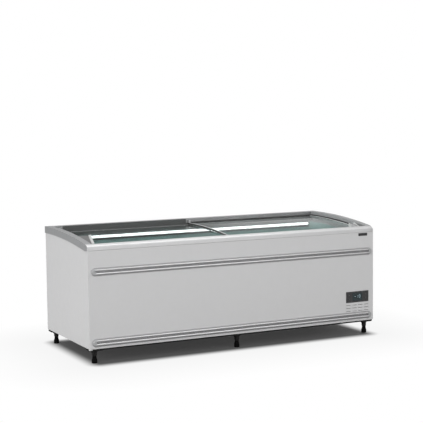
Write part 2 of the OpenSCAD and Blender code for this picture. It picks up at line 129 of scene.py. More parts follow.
def makeMottleGroup():
    group, start, end = newGroup(
        "mottle",
        [("Color", "NodeSocketColor", (0.5, 0.5, 0.5, 1)), ("Soil", "NodeSocketColor", (0.3, 0.3, 0.28, 1)),
         ("Scale", "NodeSocketFloat", 3.0), ("Amount", "NodeSocketFloat", 0.1)],
        [("Color", "NodeSocketColor"), ("Mask", "NodeSocketFloat")])
    coords = group.nodes.new("ShaderNodeTexCoord")
    broad = noiseNode(group, coords.outputs["Object"], start.outputs["Scale"], mottled["broadDetail"])
    fineScale = mathNode(group, "MULTIPLY", start.outputs["Scale"], mottled["fineTimes"])
    fine = noiseNode(group, coords.outputs["Object"], fineScale, mottled["fineDetail"])
    both = mathNode(group, "MULTIPLY", broad, fine)
    spread = mathNode(group, "MULTIPLY", both, mottled["gain"], True)
    mask = mathNode(group, "MULTIPLY", spread, start.outputs["Amount"], True)
    mix = group.nodes.new("ShaderNodeMix")
    mix.data_type = "RGBA"
    group.links.new(mask, mix.inputs[0])
    group.links.new(start.outputs["Color"], mix.inputs[6])
    group.links.new(start.outputs["Soil"], mix.inputs[7])
    group.links.new(mix.outputs[2], end.inputs["Color"])
    group.links.new(mask, end.inputs["Mask"])
    return group


chips = {"edgeGain": 5.0, "scale": 38.0, "detail": 4.0, "start": 0.42, "gain": 5.0}


def makeWearGroup():
    group, start, end = newGroup(
        "edgeWear", [("Radius", "NodeSocketFloat", 0.002), ("Amount", "NodeSocketFloat", 0.5)],
        [("Mask", "NodeSocketFloat")])
    geometry = group.nodes.new("ShaderNodeNewGeometry")
    bevel = group.nodes.new("ShaderNodeBevel")
    bevel.samples = 4
    group.links.new(start.outputs["Radius"], bevel.inputs["Radius"])
    facing = dotNode(group, geometry.outputs["Normal"], bevel.outputs["Normal"])
    edge = mathNode(group, "MULTIPLY", mathNode(group, "SUBTRACT", 1.0, facing), chips["edgeGain"], True)
    coords = group.nodes.new("ShaderNodeTexCoord")
    patches = noiseNode(group, coords.outputs["Object"], chips["scale"], chips["detail"])
    above = mathNode(group, "SUBTRACT", patches, chips["start"])
    spots = mathNode(group, "MULTIPLY", above, chips["gain"], True)
    chipped = mathNode(group, "MULTIPLY", edge, spots)
    worn = mathNode(group, "MULTIPLY", chipped, start.outputs["Amount"], True)
    group.links.new(worn, end.inputs["Mask"])
    return group


def makeGrainGroup():
    group, start, end = newGroup(
        "grain", [("Scale", "NodeSocketFloat", 400.0), ("Stretch", "NodeSocketVector", (1, 1, 1))],
        [("Height", "NodeSocketFloat")])
    coords = group.nodes.new("ShaderNodeTexCoord")
    stretch = group.nodes.new("ShaderNodeVectorMath")
    stretch.operation = "MULTIPLY"
    group.links.new(coords.outputs["Object"], stretch.inputs[0])
    group.links.new(start.outputs["Stretch"], stretch.inputs[1])
    height = noiseNode(group, stretch.outputs["Vector"], start.outputs["Scale"], 2.0)
    group.links.new(height, end.inputs["Height"])
    return group


groups = {"mottle": makeMottleGroup(), "wear": makeWearGroup(), "grain": makeGrainGroup()}
print("shader groups made")


# materials

def placeGroup(tree, name, values):
    node = tree.nodes.new("ShaderNodeGroup")
    node.node_tree = groups[name]
    for key, value in values.items():
        node.inputs[key].default_value = value
    return node


def finish(name, look):
    material = bpy.data.materials.new(name)
    material.use_nodes = True
    tree = material.node_tree
    shader = tree.nodes["Principled BSDF"]
    shader.inputs["IOR"].default_value = 1.48
    for key, value in look.get("shader", {}).items():
        shader.inputs[key].default_value = value
    mottle = placeGroup(tree, "mottle", {
        "Color": (*look["color"], 1), "Soil": (*look["soil"], 1),
        "Scale": look.get("soilScale", 3.0), "Amount": look.get("soilAmount", 0.2)})
    colour = mottle.outputs["Color"]
    if "wear" in look:
        wear = placeGroup(tree, "wear", {"Radius": look["wear"][0], "Amount": look["wear"][1]})
        mix = tree.nodes.new("ShaderNodeMix")
        mix.data_type = "RGBA"
        tree.links.new(wear.outputs["Mask"], mix.inputs[0])
        tree.links.new(colour, mix.inputs[6])
        mix.inputs[7].default_value = (*look["wearColor"], 1)
        colour = mix.outputs[2]
    tree.links.new(colour, shader.inputs["Base Color"])
    rough = rangeNode(tree, mottle.outputs["Mask"], (0.0, look.get("soilAmount", 0.2)), look["roughness"])
    tree.links.new(rough, shader.inputs["Roughness"])
    grain = placeGroup(tree, "grain", {"Scale": look.get("grainScale", 400.0),
                                       "Stretch": look.get("stretch", (1, 1, 1))})
    bump = tree.nodes.new("ShaderNodeBump")
    bump.inputs["Strength"].default_value = look.get("bump", 0.1)
    bump.inputs["Distance"].default_value = look.get("bumpDepth", 0.0004)
    tree.links.new(grain.outputs["Height"], bump.inputs["Height"])
    tree.links.new(bump.outputs["Normal"], shader.inputs["Normal"])
    return material


def glassFinish(name, look):
    material = bpy.data.materials.new(name)
    material.use_nodes = True
    tree = material.node_tree
    shader = tree.nodes["Principled BSDF"]
    shader.inputs["Transmission Weight"].default_value = 1.0
    shader.inputs["IOR"].default_value = look["ior"]
    mottle = placeGroup(tree, "mottle", {"Color": (*look["color"], 1), "Soil": (*look["soil"], 1),
                                         "Scale": look["soilScale"], "Amount": look["soilAmount"]})
    tree.links.new(mottle.outputs["Color"], shader.inputs["Base Color"])
    rough = rangeNode(tree, mottle.outputs["Mask"], (0.0, 1.0), look["roughness"])
    tree.links.new(rough, shader.inputs["Roughness"])
    clear = tree.nodes.new("ShaderNodeBsdfTransparent")
    clear.inputs["Color"].default_value = (*look["shadow"], 1)
    path = tree.nodes.new("ShaderNodeLightPath")
    mix = tree.nodes.new("ShaderNodeMixShader")
    tree.links.new(path.outputs["Is Shadow Ray"], mix.inputs[0])
    tree.links.new(shader.outputs[0], mix.inputs[1])
    tree.links.new(clear.outputs[0], mix.inputs[2])
    tree.links.new(mix.outputs[0], tree.nodes["Material Output"].inputs["Surface"])
    return material


looks = {
    "bodyPaint": {"color": (0.57, 0.57, 0.575), "soil": (0.49, 0.485, 0.475), "soilScale": 1.6,
                  "soilAmount": 0.18, "roughness": (0.32, 0.42), "grainScale": 520, "bump": 0.05,
                  "wear": (0.0015, 0.35), "wearColor": (0.66, 0.66, 0.665),
                  "shader": {"Coat Weight": 0.15, "Coat Roughness": 0.25}},
    "frameMetal": {"color": (0.36, 0.365, 0.37), "soil": (0.27, 0.27, 0.27), "soilScale": 4,
                   "soilAmount": 0.3, "roughness": (0.34, 0.46), "grainScale": 260,
                   "stretch": (0.03, 1, 1), "bump": 0.10,
                   "wear": (0.002, 0.4), "wearColor": (0.55, 0.55, 0.56), "shader": {"Metallic": 0.35}},
    # also put on the front frame's end faces as painted shade, darker than its front face
    "sideMetalAndEndShade": {"color": (0.33, 0.335, 0.34), "soil": (0.25, 0.25, 0.25), "soilScale": 4, "soilAmount": 0.3,
                  "roughness": (0.36, 0.48), "grainScale": 260, "stretch": (1, 0.03, 1), "bump": 0.10,
                  "wear": (0.002, 0.4), "wearColor": (0.5, 0.5, 0.51), "shader": {"Metallic": 0.3}},
    "frontMetal": {"color": (0.58, 0.58, 0.585), "soil": (0.45, 0.45, 0.45), "soilScale": 4,
                   "soilAmount": 0.25, "roughness": (0.28, 0.4), "grainScale": 260,
                   "stretch": (0.03, 1, 1), "bump": 0.08, "wear": (0.002, 0.35),
                   "wearColor": (0.7, 0.7, 0.7), "shader": {"Metallic": 0.25}},
    "bumperSkin": {"color": (0.4, 0.4, 0.405), "soil": (0.36, 0.36, 0.36), "soilScale": 5, "soilAmount": 0.25,
                   "roughness": (0.28, 0.38), "grainScale": 300, "stretch": (0.03, 1, 1), "bump": 0.08,
                   "wear": (0.002, 0.4), "wearColor": (0.75, 0.75, 0.75), "shader": {"Metallic": 0.75}},
    "cornerPlastic": {"color": (0.13, 0.129, 0.13), "soil": (0.09, 0.09, 0.09), "soilScale": 12,
                      "soilAmount": 0.3, "roughness": (0.4, 0.55), "grainScale": 900, "bump": 0.15},
    # a darker copy of the frame metal: painted shade on the rear frame's inner faces
    "innerPaintedShade": {"color": (0.19, 0.193, 0.196), "soil": (0.14, 0.14, 0.14), "soilScale": 4,
                   "soilAmount": 0.3, "roughness": (0.34, 0.46), "grainScale": 260,
                   "stretch": (0.03, 1, 1), "bump": 0.1,
                   "shader": {"Metallic": 0.3}},
    # pale plastic; on the right lid's frame and on the handle's tab it is a painted highlight
    "gripPlasticAndHighlight": {"color": (0.5, 0.51, 0.51), "soil": (0.4, 0.4, 0.39), "soilScale": 9, "soilAmount": 0.25,
                    "roughness": (0.3, 0.45), "grainScale": 900, "bump": 0.12, "wear": (0.002, 0.3),
                    "wearColor": (0.78, 0.78, 0.78)},
    "capPlastic": {"color": (0.36, 0.365, 0.37), "soil": (0.27, 0.27, 0.27), "soilScale": 9,
                   "soilAmount": 0.3, "roughness": (0.35, 0.5), "grainScale": 900, "bump": 0.15,
                   "wear": (0.002, 0.4),
                   "wearColor": (0.62, 0.62, 0.62)},
    "trackPlastic": {"color": (0.035, 0.038, 0.038), "soil": (0.06, 0.06, 0.058), "soilScale": 8,
                     "soilAmount": 0.4, "roughness": (0.45, 0.6), "grainScale": 700, "bump": 0.12},
    "blackPlastic": {"color": (0.012, 0.012, 0.013), "soil": (0.03, 0.03, 0.03), "soilScale": 12,
                     "soilAmount": 0.35, "roughness": (0.35, 0.5), "grainScale": 1100, "bump": 0.2,
                     "wear": (0.001, 0.3), "wearColor": (0.05, 0.05, 0.05)},
    "controlPlastic": {"color": (0.024, 0.024, 0.025), "soil": (0.04, 0.04, 0.04), "soilScale": 12,
                       "soilAmount": 0.35, "roughness": (0.35, 0.5), "grainScale": 1100, "bump": 0.2},
    "blackSteel": {"color": (0.004, 0.004, 0.0043), "soil": (0.01, 0.009, 0.008), "soilScale": 6,
                   "soilAmount": 0.5, "roughness": (0.4, 0.6), "grainScale": 500, "bump": 0.12,
                   "wear": (0.0015, 0.5), "wearColor": (0.05, 0.05, 0.05),
                   "shader": {"Specular IOR Level": 0.25}},
    "footPlastic": {"color": (0.003, 0.003, 0.0033), "soil": (0.007, 0.007, 0.0065), "soilScale": 14,
                    "soilAmount": 0.5, "roughness": (0.45, 0.6), "grainScale": 900, "bump": 0.2,
                    "shader": {"Specular IOR Level": 0.02}},
    # rubber; on the centre bar's side faces it is painted shade
    "rubber": {"color": (0.014, 0.014, 0.014), "soil": (0.05, 0.05, 0.048), "soilScale": 10,
               "soilAmount": 0.5, "roughness": (0.7, 0.85), "grainScale": 800, "bump": 0.3},
    "liner": {"color": (0.27, 0.38, 0.37), "soil": (0.22, 0.32, 0.31), "soilScale": 3, "soilAmount": 0.3,
              "roughness": (0.3, 0.45), "grainScale": 300, "bump": 0.06},
    "keyPlastic": {"color": (0.02, 0.02, 0.021), "soil": (0.045, 0.045, 0.045), "soilScale": 30,
                   "soilAmount": 0.3, "roughness": (0.4, 0.55), "grainScale": 1500, "bump": 0.15},
    "foam": {"color": (0.75, 0.68, 0.42), "soil": (0.6, 0.5, 0.28), "soilScale": 12, "soilAmount": 0.6,
             "roughness": (0.8, 0.95), "grainScale": 350, "bump": 0.5, "bumpDepth": 0.002},
    "copper": {"color": (0.7, 0.32, 0.17), "soil": (0.32, 0.17, 0.1), "soilScale": 20, "soilAmount": 0.5,
               "roughness": (0.25, 0.45), "grainScale": 600, "bump": 0.08, "shader": {"Metallic": 1.0}},
    "finMetal": {"color": (0.3, 0.3, 0.31), "soil": (0.16, 0.15, 0.14), "soilScale": 15, "soilAmount": 0.5,
                 "roughness": (0.35, 0.55), "grainScale": 500, "bump": 0.1, "shader": {"Metallic": 0.8}},
    "displayGlass": {"color": (0.006, 0.014, 0.017), "soil": (0.012, 0.03, 0.034), "soilScale": 25,
                     "soilAmount": 0.6, "roughness": (0.12, 0.22), "grainScale": 200, "bump": 0.02,
                     "shader": {"Coat Weight": 0.6, "Coat Roughness": 0.08}},
    "inkGrey": {"color": (0.16, 0.16, 0.16), "soil": (0.11, 0.11, 0.11), "soilScale": 60, "soilAmount": 0.4,
                "roughness": (0.5, 0.6), "grainScale": 1500, "bump": 0.1},
    "litSegments": {"color": (0.3, 0.37, 0.41), "soil": (0.2, 0.32, 0.36), "soilScale": 60, "soilAmount": 0.5,
                    "roughness": (0.4, 0.5), "bump": 0.02,
                    "shader": {"Emission Color": (0.6, 0.78, 0.88, 1), "Emission Strength": 0.12}},
    "diffuser": {"color": (0.9, 0.92, 0.93), "soil": (0.8, 0.84, 0.85), "soilScale": 4, "soilAmount": 0.2,
                 "roughness": (0.4, 0.5), "grainScale": 900, "bump": 0.05,
                 "shader": {"Emission Color": (0.98, 1.0, 1.0, 1), "Emission Strength": 3.0}},
}
materials = {name: finish(name, look) for name, look in looks.items()}
materials["lidGlass"] = glassFinish("lidGlass", {
    "color": (0.91, 0.965, 0.955), "soil": (0.84, 0.91, 0.9), "soilScale": 2.0, "soilAmount": 0.3,
    "roughness": (0.0, 0.03), "ior": 1.45, "shadow": (0.86, 0.93, 0.91)})
print("materials made:", len(materials))


# helpers for pieces

lidCurve = {"top": 944.0, "radius": 5500.0, "crest": 350.0}  # same curve as the lids, in mm


def shadeSmooth(bm, angle):
    limit = math.radians(angle)
    for face in bm.faces:
        face.smooth = True
    for edge in bm.edges:
        edge.smooth = len(edge.link_faces) == 2 and edge.calc_face_angle(0) < limit


def bevelEdges(bm, edges, offset, segments=2):
    bmesh.ops.bevel(bm, geom=edges, offset=offset * mm, offset_type="OFFSET", segments=segments, profile=0.5,
                    affect="EDGES", clamp_overlap=True, material=-1)


def fromBmesh(bm, name, material, smoothAngle=35):
    mesh = bpy.data.meshes.new(name)
    shadeSmooth(bm, smoothAngle)
    bm.to_mesh(mesh)
    bm.free()
    piece = bpy.data.objects.new(name, mesh)
    bpy.context.scene.collection.objects.link(piece)
    mesh.materials.append(materials[material])
    return piece


def place(piece, body, slotName, *stoodFor):
    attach(piece, body)
    if stoodFor:
        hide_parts(*stoodFor)
    return piece


def steadyNormals(piece):
    weighted = piece.modifiers.new("steadyNormals", "WEIGHTED_NORMAL")
    weighted.keep_sharp = True
    weighted.weight = 80


soft = {"flat": 0.4, "corner": 25, "smooth": 50}  # degrees: merged below, bevelled above, shaded smooth below


def softCopy(node, material, width, segments=2):
    bm = bmesh.new()
    bm.from_mesh(nodes[node].data)
    bmesh.ops.remove_doubles(bm, verts=bm.verts, dist=0.01 * mm)
    bmesh.ops.dissolve_limit(bm, angle_limit=math.radians(soft["flat"]), verts=bm.verts, edges=bm.edges)
    limit = math.radians(soft["corner"])
    edges = [e for e in bm.edges if len(e.link_faces) == 2 and e.calc_face_angle(0) > limit]
    if edges:
        bevelEdges(bm, edges, width, segments)
    piece = fromBmesh(bm, node + "Skin", material, soft["smooth"])
    steadyNormals(piece)
    record = next(row for row in frame["record"]["subparts"] if row["node"] == node)
    return place(piece, nodes[node]["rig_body"], record["material_slot"], node)


def cutAcross(bm, x):
    bmesh.ops.bisect_plane(bm, geom=bm.verts[:] + bm.edges[:] + bm.faces[:], dist=0.0001 * mm,
                           plane_co=(x, 0, 0), plane_no=(1, 0, 0))


def roundFrontCorner(piece, side, reach, back, fall, slices=12):
    bm = bmesh.new()
    bm.from_mesh(piece.data)
    end = max(v.co.x for v in bm.verts)
    front, rear = min(v.co.y for v in bm.verts), max(v.co.y for v in bm.verts)
    low, high = min(v.co.z for v in bm.verts), max(v.co.z for v in bm.verts)
    for step in range(slices):
        angle = math.radians(90 - 90 / slices * step)
        cutAcross(bm, side * (end - reach * mm * (1 - math.cos(angle))))
    for v in bm.verts:
        inward = max(0.0, 1 - (end - side * v.co.x) / (reach * mm))
        curve = 1 - math.sqrt(max(0.0, 1 - inward * inward))
        ahead = (rear - v.co.y) / (rear - front)
        v.co.z -= fall * mm * curve * ahead * (v.co.z - low) / (high - low)
        v.co.y += back * mm * curve * ahead
    shadeSmooth(bm, soft["smooth"])
    bm.to_mesh(piece.data)
    bm.free()


def splitAcross(piece, *places):
    bm = bmesh.new()
    bm.from_mesh(piece.data)
    for x in places:
        cutAcross(bm, x)
    bm.to_mesh(piece.data)
    bm.free()


def tintFaces(piece, material, test):
    piece.data.materials.append(materials[material])
    index = len(piece.data.materials) - 1
    for face in piece.data.polygons:
        if test(face.center, face.normal):
            face.material_index = index


def paintNode(node, material):
    mesh = nodes[node].data
    mesh.materials.clear()
    mesh.materials.append(materials[material])


def box(bm, low, high):
    low, high = Vector(low), Vector(high)
    made = bmesh.ops.create_cube(bm, size=1.0)
    bmesh.ops.scale(bm, vec=high - low, verts=made["verts"])
    bmesh.ops.translate(bm, vec=(low + high) / 2, verts=made["verts"])
    return made["verts"]


def topZ(y, drop):
    reach = max(0.0, lidCurve["crest"] - y)
    sag = lidCurve["radius"] - math.sqrt(lidCurve["radius"] ** 2 - reach ** 2)
    return (lidCurve["top"] - sag - drop) * mm


def curvedStrip(name, material, x0, x1, y0, y1, drop0, drop1, soften, steps=48):
    bm = bmesh.new()
    rings = []
    for step in range(steps + 1):
        y = y0 + (y1 - y0) * step / steps
        corners = [(x0, drop0), (x1, drop0), (x1, drop1), (x0, drop1)]
        rings.append([bm.verts.new((x * mm, y * mm, topZ(y, drop))) for x, drop in corners])
    for near, far in zip(rings, rings[1:]):
        for a in range(4):
            b = (a + 1) % 4
            bm.faces.new((near[a], near[b], far[b], far[a]))
    bm.faces.new(rings[0])
    bm.faces.new(list(reversed(rings[-1])))
    bmesh.ops.recalc_face_normals(bm, faces=bm.faces)
    edges = [e for e in bm.edges if e.calc_face_angle(0) > math.radians(30)]
    bevelEdges(bm, edges, soften)
    return fromBmesh(bm, name, material, 40)


def lathe(profile, centre, axis="Z", steps=48):
    bm = bmesh.new()
    verts = [bm.verts.new((r * mm, 0, h * mm)) for r, h in profile]
    edges = [bm.edges.new(pair) for pair in zip(verts, verts[1:])]
    bmesh.ops.spin(bm, geom=verts + edges, cent=(0, 0, 0), axis=(0, 0, 1), angle=math.tau,
                   steps=steps, use_merge=True)
    bmesh.ops.remove_doubles(bm, verts=bm.verts, dist=0.01 * mm)
    bmesh.ops.recalc_face_normals(bm, faces=bm.faces)
    if axis == "-Y":
        bmesh.ops.rotate(bm, cent=(0, 0, 0), matrix=Matrix.Rotation(math.pi / 2, 3, "X"), verts=bm.verts)
    bmesh.ops.translate(bm, vec=centre, verts=bm.verts)
    return bm


# cabinet

softened = {
    "front_panel": ("bodyPaint", 0.5), "left_panel": ("bodyPaint", 0.5), "right_panel": ("bodyPaint", 0.5),
    "back_panel": ("bodyPaint", 0.5), "bottom_pan": ("blackSteel", 0.3),
    "base_rails": ("blackSteel", 1.5), "base_cross_members": ("blackSteel", 1.5),
    "foot_brackets": ("blackSteel", 0.8),
    "side_frame_left": ("sideMetalAndEndShade", 3.0), "side_frame_right": ("sideMetalAndEndShade", 3.0),
    "front_frame": ("frontMetal", 1.6), "rear_frame": ("frameMetal", 3.0),
    "front_track": ("trackPlastic", 0.6), "rear_track": ("trackPlastic", 0.6),
    "corner_block_left": ("cornerPlastic", 2.5), "upper_bumper": ("bumperSkin", 0.8),
    "lower_bumper": ("bumperSkin", 0.8), "badge": ("blackPlastic", 0.8),
    "control_plate": ("controlPlastic", 1.0), "back_grille": ("blackPlastic", 0.8),
    "power_inlet": ("blackPlastic", 0.8),
    "led_housing": ("blackPlastic", 1.5), "left_lid_frame": ("capPlastic", 1.2),
    "right_lid_frame": ("capPlastic", 1.2), "right_handle": ("capPlastic", 2.5),
    "left_pull": ("capPlastic", 0.4),
    "display_window": ("displayGlass", 0.6), "rear_spacers": ("rubber", 1.2),
}
skins = {node: softCopy(node, material, width) for node, (material, width) in softened.items()}
for number in range(1, 5):
    softCopy(f"key_{number}", "keyPlastic", 1.2, 3)

# where the tints change, in metres
openTrack = {"left": -1.12, "right": -0.03, "front": 0.405, "rear": 0.43}  # dark wall above the left lid
rim = {"x": -1.186, "y": -0.404, "slope": 0.29}  # slanted line where the corner block's pale rim begins
grip = {"tab": 1.0945, "x": 1.136, "y": -0.414, "slope": 0.297}  # pale up to the tab's edge as a painted highlight, and past a line for the pale bar
member = {"end": 1.2495, "right": 1.171, "rear": 0.385, "leftRear": 0.38, "bar": 0.05,
          "barSide": -0.0035}  # edges of the front frame's end and of the lids' members

# the front frame's end faces get the darker side metal: painted shade
tintFaces(skins["front_frame"], "sideMetalAndEndShade", lambda c, n: abs(c.x) > member["end"] and abs(n.x) > 0.5)
roundFrontCorner(skins["front_frame"], 1, reach=52, back=12, fall=19)
roundFrontCorner(skins["front_frame"], -1, reach=16, back=4, fall=3)
tintFaces(skins["corner_block_left"], "gripPlasticAndHighlight",
          lambda c, n: c.x > rim["x"] + rim["slope"] * (c.y - rim["y"]))
# the rear frame's faces turned to the front are painted darker as shade
tintFaces(skins["rear_frame"], "innerPaintedShade", lambda c, n: n.y < -0.5)
splitAcross(skins["rear_frame"], openTrack["left"], openTrack["right"])
tintFaces(skins["rear_frame"], "trackPlastic",
          lambda c, n: (n.y < -0.9 and openTrack["front"] < c.y < openTrack["rear"]
                        and openTrack["left"] < c.x < openTrack["right"]))
tintFaces(skins["left_lid_frame"], "trackPlastic", lambda c, n: c.y > member["leftRear"])
# painted highlight: the right end member and the top faces of the centre bar are pale
tintFaces(skins["right_lid_frame"], "gripPlasticAndHighlight",
          lambda c, n: c.x > member["right"] or (c.x < member["bar"] and n.z > 0.5))
tintFaces(skins["right_lid_frame"], "rubber", lambda c, n: c.y > member["rear"])
# painted shade: the centre bar's side faces and the gap below them go dark
tintFaces(skins["right_lid_frame"], "rubber", lambda c, n: c.x < member["barSide"] and n.z < 0.5)
# the handle's tab is painted pale as a highlight, and the slanted bar is pale past its line
tintFaces(skins["right_handle"], "gripPlasticAndHighlight",
          lambda c, n: c.x < grip["tab"] or c.x > grip["x"] + grip["slope"] * (c.y - grip["y"]))
print("cabinet skins made")

plain = {
    "liner_front": "liner", "liner_back": "liner", "liner_left": "liner", "liner_right": "liner",
    "liner_floor": "liner", "foam_front": "foam", "foam_back": "foam", "foam_left": "foam",
    "foam_right": "foam", "foam_floor": "foam", "evaporator_tubes": "copper", "refrigerant_pipes": "copper",
    "compressor": "blackSteel", "condenser": "finMetal", "fan_motor": "blackSteel", "fan_blade": "finMetal",
    "fan_shroud": "finMetal", "drain_tube": "blackPlastic", "led_diffuser": "diffuser",
    "bumper_end_caps": "capPlastic",
}
for node, material in plain.items():
    paintNode(node, material)
print("inner parts painted")


# lid glass and seals

sheets = {"left_glass": ("left_lid", -394, 390), "right_glass": ("right_lid", -408, 402)}  # front and rear
pane = {"thickness": 4, "soften": 0.5, "steps": 120}


def makeSheet(node):
    body, front, rear = sheets[node]
    low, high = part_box(node)
    drop = lidCurve["top"] - high.z / mm
    sheet = curvedStrip(node + "Sheet", "lidGlass", low.x / mm, high.x / mm, front, rear,
                        drop, drop + pane["thickness"], pane["soften"], pane["steps"])
    steadyNormals(sheet)
    place(sheet, body, "lid_glass", node)


seals = {  # body, then the x, y and drop limits, the softening and the steps
    "rightEndSeal": ("right_lid", 1184, 1194, -418, 404, 24, 34, 2, 48),
    "rearSeal": ("right_lid", 2, 1194, 405, 415, 27, 34, 2, 2),
    "leftEndSeal": ("left_lid", -1194, -1186, -404, 400, 46.5, 50, 1.2, 48)}


def makeSeal(name):
    body, *shape = seals[name]
    place(curvedStrip(name, "rubber", *shape), body, "frame_plastic")


for node in sheets:
    makeSheet(node)
for name in seals:
    makeSeal(name)
print("lid glass and seals made")


# levelling feet

foot = {"cup": 21.0, "stem": 9.0, "top": 94.0, "threads": 6, "threadFrom": 51.0, "pitch": 1.6}


def makeFoot(number):
    low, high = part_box(f"foot_{number}")
    centre = ((low.x + high.x) / 2, (low.y + high.y) / 2, 0)
    profile = [(0, 0), (foot["cup"] - 2, 0), (foot["cup"] - 0.5, 0.8), (foot["cup"], 2.4), (foot["cup"], 25),
               (foot["cup"] - 0.8, 28.5), (foot["cup"] - 3.2, 34), (16.8, 38), (16.2, 41.4), (15.8, 45),
               (15.6, 49.8), (15, 50.5), (foot["stem"] - 0.8, 50.7)]
    for turn in range(foot["threads"]):
        height = foot["threadFrom"] + turn * foot["pitch"]
        profile += [(foot["stem"] - 0.9, height), (foot["stem"], height + foot["pitch"] / 2)]
    profile += [(foot["stem"] - 0.9, 68), (foot["stem"] - 0.9, foot["top"]), (0, foot["top"])]
    bm = lathe(profile, centre)
    piece = fromBmesh(bm, f"foot{number}Turned", "footPlastic", 40)
    place(piece, f"foot_{number}_body", "foot_plastic", f"foot_{number}")


for number in range(1, 7):
    makeFoot(number)
print("feet made")


# bumper end caps

endCap = {"radius": 28.5, "depth": 18, "round": 11, "reach": 30}


def makeEndCaps():
    radius, depth, reach = (endCap[key] * mm for key in ("radius", "depth", "reach"))
    bm = bmesh.new()
    for barNode in ("upper_bumper", "lower_bumper"):
        barLow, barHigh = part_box(barNode)
        middle = (barLow.z + barHigh.z) / 2
        for side, edge in ((-1, barLow.x), (1, barHigh.x)):
            made = bmesh.ops.create_cone(bm, cap_ends=True, segments=64, radius1=radius, radius2=radius,
                                         depth=depth)
            verts = made["verts"]
            bmesh.ops.rotate(bm, cent=(0, 0, 0), matrix=Matrix.Rotation(math.pi / 2, 3, "X"), verts=verts)
            bmesh.ops.translate(bm, vec=(edge, barHigh.y - depth / 2, middle), verts=verts)
            faces = list({f for v in verts for f in v.link_faces})
            rim = list({e for f in faces for e in f.edges
                        if all(abs(v.co.y - (barHigh.y - depth)) < 0.1 * mm for v in e.verts)})
            bevelEdges(bm, rim, endCap["round"], 6)
            part = [v for v in bm.verts if abs(v.co.x - edge) < reach and abs(v.co.z - middle) < reach]
            partEdges = list({e for v in part for e in v.link_edges})
            geom = part + partEdges + list({f for v in part for f in v.link_faces})
            cut = bmesh.ops.bisect_plane(bm, geom=geom, dist=0.001 * mm, plane_co=(edge, 0, 0),
                                         plane_no=(-side, 0, 0), clear_outer=True)
            loop = [e for e in cut["geom_cut"] if isinstance(e, bmesh.types.BMEdge)]
            bmesh.ops.edgeloop_fill(bm, edges=loop)
    bmesh.ops.recalc_face_normals(bm, faces=bm.faces)
    piece = fromBmesh(bm, "bumperEndCapsMoulded", "capPlastic", 40)
    steadyNormals(piece)
    place(piece, "cabinet", "frame_plastic", "bumper_end_caps")


makeEndCaps()
print("end caps made")


# small fittings

screws = {"radius": 5.0, "height": 2.4, "slot": 0.6, "back": 471, "side": 1246, "grille": 475}


def makeScrews(name, spots, facing, material, slotName):
    profile = [(0, -0.5), (screws["radius"], -0.5), (screws["radius"], 0.5), (screws["radius"] - 0.7, 1.5),
               (screws["radius"] - 2.2, 2.2), (2.2, screws["height"]),
               (1.6, screws["height"] - screws["slot"]), (0, screws["height"] - screws["slot"])]
    turn = Vector((0, 0, 1)).rotation_difference(Vector(facing)).to_matrix()
    whole = bmesh.new()
    for spot in spots:
        bm = lathe(profile, (0, 0, 0), steps=16)
        bmesh.ops.rotate(bm, cent=(0, 0, 0), matrix=turn, verts=bm.verts)
        bmesh.ops.translate(bm, vec=[c * mm for c in spot], verts=bm.verts)
        mesh = bpy.data.meshes.new("screw")
        bm.to_mesh(mesh)
        bm.free()
        whole.from_mesh(mesh)
        bpy.data.meshes.remove(mesh)
    place(fromBmesh(whole, name, material, 40), "cabinet", slotName)


blocks = {  # body, material, slot, and the two corners
    "cornerTab": ("cabinet", "gripPlasticAndHighlight", "frame_plastic", (-1246, -470, 105), (-1222, -452, 113.8)),
    "rearCap": ("right_lid", "capPlastic", "frame_plastic", (-10, 398, 900), (2, 412, 931)),
    "plateFrontLeft": ("cabinet", "blackSteel", "black_paint", (-1214, -462, 97), (-1138, -396, 113.6)),
    "plateFrontRight": ("cabinet", "blackSteel", "black_paint", (1150, -462, 97), (1238, -396, 113.6)),
    "plateRearLeft": ("cabinet", "blackSteel", "black_paint", (-1240, 392, 97), (-1150, 464, 113.6)),
    "plateRearRight": ("cabinet", "blackSteel", "black_paint", (1150, 392, 97), (1240, 464, 113.6))}


def makeBlock(name):
    body, material, slotName, low, high = blocks[name]
    bm = bmesh.new()
    box(bm, Vector(low) * mm, Vector(high) * mm)
    bevelEdges(bm, bm.edges[:], 1.5)
    place(fromBmesh(bm, name, material), body, slotName)


def makeCove(bm, corner, inward, low, high, axis, radius=28, steps=8):
    # concave fillet along one axis, its two legs lying on the walls
    outline = [(0, 0)] + [(radius * (1 - math.sin(a)), radius * (1 - math.cos(a)))
                          for a in (math.pi / 2 * i / steps for i in range(steps + 1))]
    ends = []
    for level in (low, high):
        ring = []
        for a, b in outline:
            first, second = corner[0] + inward[0] * a, corner[1] + inward[1] * b
            spot = (first, second, level) if axis == "Z" else (level, first, second)
            ring.append(bm.verts.new([c * mm for c in spot]))
        ends.append(ring)
    count = len(outline)
    for i in range(count):
        j = (i + 1) % count
        bm.faces.new((ends[0][i], ends[0][j], ends[1][j], ends[1][i]))
    bm.faces.new(ends[0])
    bm.faces.new(list(reversed(ends[1])))


tub = {"end": 1149.9, "side": 384.9, "floor": 225.1, "shelf": 480.1, "step": 799.9, "frontTop": 811,
       "rearTop": 817, "gap": 0.1}


def makeTubCoves():
    bm = bmesh.new()
    end, floor, shelf, step = (tub[key] for key in ("end", "floor", "shelf", "step"))
    for y, side, top in ((-tub["side"], 1, tub["frontTop"]), (tub["side"], -1, tub["rearTop"])):
        makeCove(bm, (-end, y), (1, side), floor, top, "Z")
        makeCove(bm, (end, y), (-1, side), shelf, top, "Z")
        makeCove(bm, (step, y), (-1, side), floor, shelf - tub["gap"], "Z")
        makeCove(bm, (y, floor), (side, 1), -end, step, "X")
        makeCove(bm, (y, shelf), (side, 1), step + tub["gap"], end, "X")
    bmesh.ops.recalc_face_normals(bm, faces=bm.faces)
    place(fromBmesh(bm, "tubCoves", "liner", 50), "cabinet", "liner")


drain = {"x": -1000, "z": 225.2}


